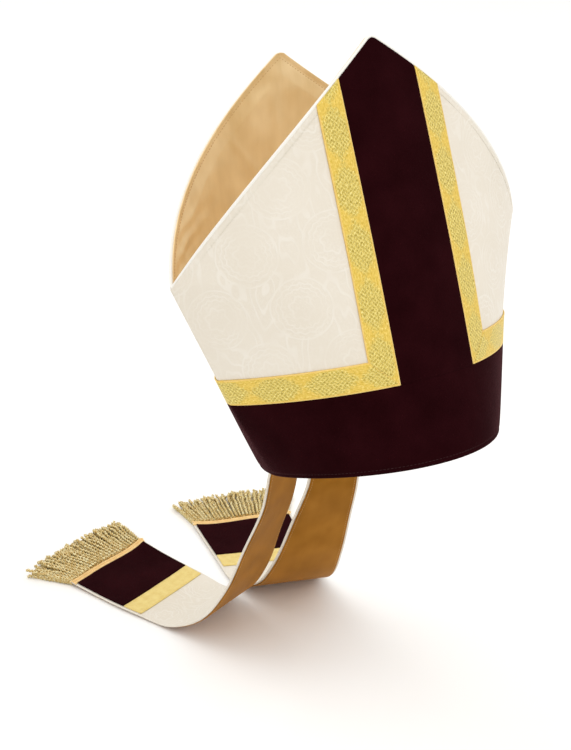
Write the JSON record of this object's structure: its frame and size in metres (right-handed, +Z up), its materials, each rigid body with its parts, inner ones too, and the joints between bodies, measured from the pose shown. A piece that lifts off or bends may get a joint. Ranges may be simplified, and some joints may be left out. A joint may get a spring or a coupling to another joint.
{
  "type": "bishop mitre",
  "caption": "Pointed two-peaked bishop's headdress of ivory damask with velvet bands, gold trim and two fringed lappets, held as worn on a head.",
  "frame": {"origin": "centre of the rim, where a head goes in", "axes": "+Z up, -Y towards the front peak, +X towards the wearer's left; the crown leans back 17 degrees about X, as it sits on a head, and the lappets trail on a level surface 250 mm below the origin"},
  "size_m": [0.318, 0.4958, 0.5672],
  "materials": {
    "ivory_damask": "ivory jacquard cloth with a tone-on-tone lace medallion pattern",
    "gold_satin": "soft golden satin lining, lightly puckered",
    "maroon_velvet": "very dark maroon short-pile velvet",
    "gold_galloon": "woven metallic braid, fine diagonal lattice with plain gold stretches",
    "ivory_piping": "ivory cloth-covered piping",
    "plain_gold_cloth": "plain fine-ribbed yellow-gold cloth",
    "gold_braid": "narrow peach-gold woven braid",
    "gold_bullion": "twisted metallic thread fringe"
  },
  "bodies": {
    "root": {"front_panel": "ivory_damask", "back_panel": "ivory_damask", "front_lining": "gold_satin", "back_lining": "gold_satin", "circulus": "maroon_velvet", "front_titulus": "maroon_velvet", "back_titulus": "maroon_velvet", "front_right_galloon": "gold_galloon", "front_left_galloon": "gold_galloon", "back_right_galloon": "gold_galloon", "back_left_galloon": "gold_galloon", "front_piping": "ivory_piping", "back_piping": "ivory_piping", "right_lappet_face": "ivory_damask", "right_lappet_lining": "gold_satin", "right_lappet_gold_band": "plain_gold_cloth", "right_lappet_velvet_band": "maroon_velvet", "right_lappet_braid": "gold_braid", "right_lappet_fringe": "gold_bullion", "left_lappet_face": "ivory_damask", "left_lappet_lining": "gold_satin", "left_lappet_gold_band": "plain_gold_cloth", "left_lappet_velvet_band": "maroon_velvet", "left_lappet_braid": "gold_braid", "left_lappet_fringe": "gold_bullion"}
  },
  "joints": []
}
